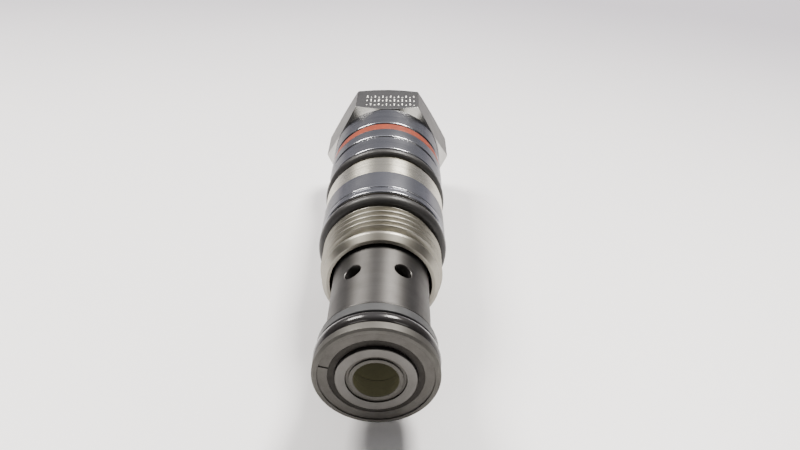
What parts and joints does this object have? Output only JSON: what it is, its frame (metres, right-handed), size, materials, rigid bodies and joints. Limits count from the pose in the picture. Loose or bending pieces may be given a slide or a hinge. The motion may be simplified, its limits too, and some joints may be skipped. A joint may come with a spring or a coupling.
{
  "type": "hydraulic cartridge valve",
  "caption": "Screw-in hydraulic cartridge valve: hexagon cap, threaded body with O-rings, ported sleeve and a sprung spool that slides in the nose.",
  "frame": {"origin": "on the valve's axis, half way along its length", "axes": "+Y along the axis from the nose towards the hexagon cap, +Z through the middle of one hexagon flat, +X across the hexagon's corners"},
  "size_m": [0.033, 0.0972, 0.0286],
  "materials": {
    "zinc_plated_steel": "bright zinc plate over turned steel",
    "ground_steel": "cylindrically ground, hardened, unplated",
    "honed_steel": "lapped and lightly oiled",
    "spring_steel": "oil tempered, dark grey",
    "black_rubber": "smooth, oiled, semi-gloss",
    "black_ptfe": "waxy, dark grey",
    "orange_rubber": "smooth, semi-matte orange-red"
  },
  "bodies": {
    "valve_body": {"hex_cap": "zinc_plated_steel", "identification_band": "orange_rubber", "cap_o_ring": "black_rubber", "cap_spigot_o_ring": "black_rubber", "threaded_body": "zinc_plated_steel", "body_o_ring": "black_rubber", "sleeve": "ground_steel", "sleeve_o_ring": "black_rubber", "sleeve_backup_ring": "black_ptfe", "sleeve_float_washer": "spring_steel", "sleeve_retaining_ring": "spring_steel", "nose_o_ring": "black_rubber", "nose_backup_ring": "black_ptfe", "nose_retaining_ring": "spring_steel", "main_spring": "spring_steel", "rear_spring_seat": "spring_steel", "shim_thick": "spring_steel", "shim_thin": "spring_steel"},
    "spool": {"compensator_spool": "honed_steel", "orifice_insert": "honed_steel", "front_spring_guide": "spring_steel"}
  },
  "joints": [
    {"name": "spool_slide", "type": "slide", "parent": "valve_body", "child": "spool", "axis": [0, 1, 0], "range_m": [0, 0.0045], "stiffness_N_per_m": 6300, "springref_m": -0.001, "deforming": ["main_spring"]}
  ]
}
